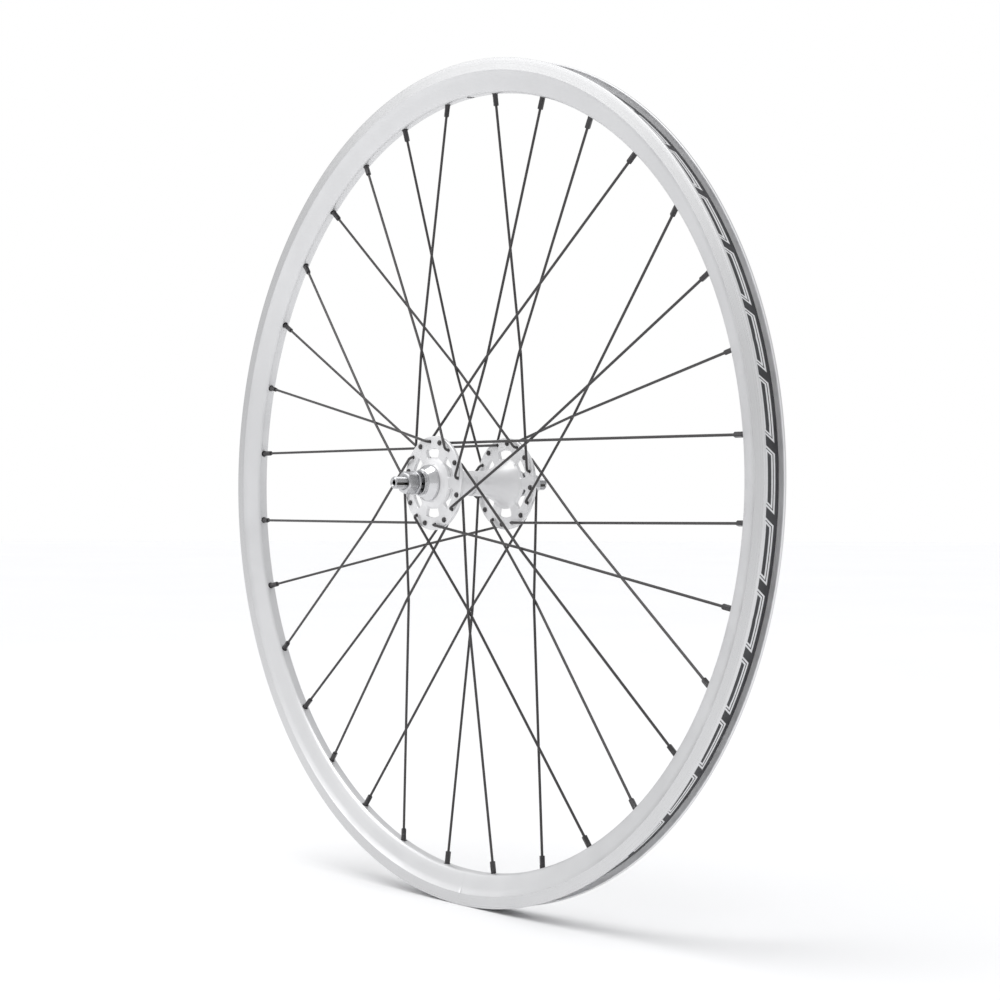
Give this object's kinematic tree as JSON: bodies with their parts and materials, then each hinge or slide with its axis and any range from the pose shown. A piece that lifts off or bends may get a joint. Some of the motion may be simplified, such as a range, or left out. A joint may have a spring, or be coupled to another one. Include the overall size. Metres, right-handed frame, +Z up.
{
  "type": "bicycle front wheel",
  "caption": "Spoked bicycle front wheel without a tyre: double-wall alloy rim, black three-cross spokes, high-flange hub and bolt-on axle.",
  "frame": {"origin": "centre of the wheel, on the axle's axis and midway between the flanges", "axes": "+Y along the axle, towards the wheel's left side; +Z up, through the valve hole; +X forwards"},
  "size_m": [0.6329, 0.144, 0.633],
  "materials": {
    "rim_alloy": "satin",
    "tape": "woven, matt",
    "spoke_black": "satin black",
    "nipple_black": "satin black",
    "hub_alloy": "gloss, white-silver coat",
    "bearing_steel": "ground and polished",
    "cage_brass": "satin",
    "seal_rubber": "matt",
    "axle_steel": "zinc plated",
    "spacer_alloy": "turned",
    "cap_steel": "polished",
    "nut_steel": "bright plated"
  },
  "bodies": {
    "axle_assembly": {"axle": "axle_steel", "axle_spacer": "spacer_alloy", "right_bearing_inner_race": "bearing_steel", "left_bearing_inner_race": "bearing_steel", "right_end_cap": "cap_steel", "left_end_cap": "cap_steel", "right_locknut": "nut_steel", "left_locknut": "nut_steel"},
    "wheel": {"rim": "rim_alloy", "rim_tape": "tape", "rim_joint_sleeve": "rim_alloy", "hub_shell": "hub_alloy", "spoke_right_01": "spoke_black", "spoke_right_02": "spoke_black", "spoke_right_03": "spoke_black", "spoke_right_04": "spoke_black", "spoke_right_05": "spoke_black", "spoke_right_06": "spoke_black", "spoke_right_07": "spoke_black", "spoke_right_08": "spoke_black", "spoke_right_09": "spoke_black", "spoke_right_10": "spoke_black", "spoke_right_11": "spoke_black", "spoke_right_12": "spoke_black", "spoke_right_13": "spoke_black", "spoke_right_14": "spoke_black", "spoke_right_15": "spoke_black", "spoke_right_16": "spoke_black", "spoke_left_01": "spoke_black", "spoke_left_02": "spoke_black", "spoke_left_03": "spoke_black", "spoke_left_04": "spoke_black", "spoke_left_05": "spoke_black", "spoke_left_06": "spoke_black", "spoke_left_07": "spoke_black", "spoke_left_08": "spoke_black", "spoke_left_09": "spoke_black", "spoke_left_10": "spoke_black", "spoke_left_11": "spoke_black", "spoke_left_12": "spoke_black", "spoke_left_13": "spoke_black", "spoke_left_14": "spoke_black", "spoke_left_15": "spoke_black", "spoke_left_16": "spoke_black", "right_spoke_nipples": "nipple_black", "left_spoke_nipples": "nipple_black", "right_bearing_outer_race": "bearing_steel", "left_bearing_outer_race": "bearing_steel", "right_bearing_seals": "seal_rubber", "left_bearing_seals": "seal_rubber"},
    "right_ball_set": {"right_bearing_cage": "cage_brass", "right_bearing_balls": "bearing_steel"},
    "right_washer": {"right_axle_washer": "nut_steel"},
    "right_nut": {"right_axle_nut": "nut_steel"},
    "left_ball_set": {"left_bearing_cage": "cage_brass", "left_bearing_balls": "bearing_steel"},
    "left_washer": {"left_axle_washer": "nut_steel"},
    "left_nut": {"left_axle_nut": "nut_steel"}
  },
  "joints": [
    {"name": "wheel_spin", "type": "hinge", "parent": "axle_assembly", "child": "wheel", "pos_m": [0, 0, 0], "axis": [0, 1, 0], "continuous": true},
    {"name": "right_ball_set_roll", "type": "hinge", "parent": "axle_assembly", "child": "right_ball_set", "pos_m": [0, -0.035, 0], "axis": [0, 1, 0], "continuous": true},
    {"name": "right_nut_travel", "type": "slide", "parent": "axle_assembly", "child": "right_washer", "axis": [0, -1, 0], "range_m": [0, 0.017]},
    {"name": "right_nut_turn", "type": "hinge", "parent": "right_washer", "child": "right_nut", "pos_m": [0, -0.058, 0], "axis": [0, -1, 0], "range_deg": [0, 6120]},
    {"name": "left_ball_set_roll", "type": "hinge", "parent": "axle_assembly", "child": "left_ball_set", "pos_m": [0, 0.035, 0], "axis": [0, 1, 0], "continuous": true},
    {"name": "left_nut_travel", "type": "slide", "parent": "axle_assembly", "child": "left_washer", "axis": [0, 1, 0], "range_m": [0, 0.017]},
    {"name": "left_nut_turn", "type": "hinge", "parent": "left_washer", "child": "left_nut", "pos_m": [0, 0.058, 0], "axis": [0, 1, 0], "range_deg": [0, 6120]}
  ],
  "couplings": [
    {"joint": "right_ball_set_roll", "follows": "wheel_spin", "ratio": 0.63222},
    {"joint": "right_nut_travel", "follows": "right_nut_turn", "m_per_rad": 0.00015915},
    {"joint": "left_ball_set_roll", "follows": "wheel_spin", "ratio": 0.63222},
    {"joint": "left_nut_travel", "follows": "left_nut_turn", "m_per_rad": 0.00015915}
  ]
}
